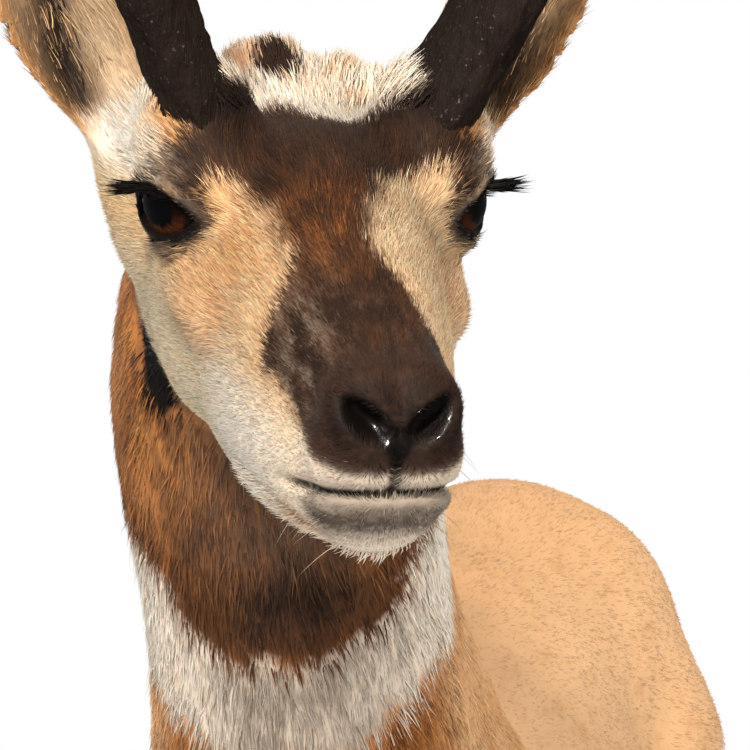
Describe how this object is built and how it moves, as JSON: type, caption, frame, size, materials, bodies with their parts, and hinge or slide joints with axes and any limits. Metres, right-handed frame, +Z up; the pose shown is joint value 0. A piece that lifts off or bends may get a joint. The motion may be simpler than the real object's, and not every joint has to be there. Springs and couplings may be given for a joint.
{
  "type": "pronghorn",
  "caption": "Life-size standing pronghorn buck with pronged horns, alert ears, brown neck with white bands, pale flanks and a dark face, its head turned to its left.",
  "frame": {"origin": "the middle of the box round the animal, at the ground under its feet", "axes": "+Z up, the animal faces -Y, its left side is on +X"},
  "size_m": [0.4178, 1.2634, 1.5255],
  "materials": {
    "face_coat": "short dark brown and cream hair",
    "neck_coat": "coarse rusty brown hair with a white band",
    "body_coat": "short sandy tan hair, white below",
    "leg_coat": "very short tan hair",
    "ear_coat": "short tan hair, cream inside",
    "horn": "rough black horn sheath",
    "hoof": "worn black hoof",
    "eye": "wet dark brown eye"
  },
  "bodies": {
    "root": {"head": "face_coat", "neck": "neck_coat", "torso": "body_coat", "tail": "body_coat", "ear_left": "ear_coat", "ear_right": "ear_coat", "eye_left": "eye", "eye_right": "eye", "horn_left": "horn", "horn_right": "horn", "leg_front_left": "leg_coat", "leg_front_right": "leg_coat", "leg_back_left": "leg_coat", "leg_back_right": "leg_coat", "hoof_front_left_outer": "hoof", "hoof_front_left_inner": "hoof", "hoof_front_right_outer": "hoof", "hoof_front_right_inner": "hoof", "hoof_back_left_outer": "hoof", "hoof_back_left_inner": "hoof", "hoof_back_right_outer": "hoof", "hoof_back_right_inner": "hoof"}
  },
  "joints": []
}
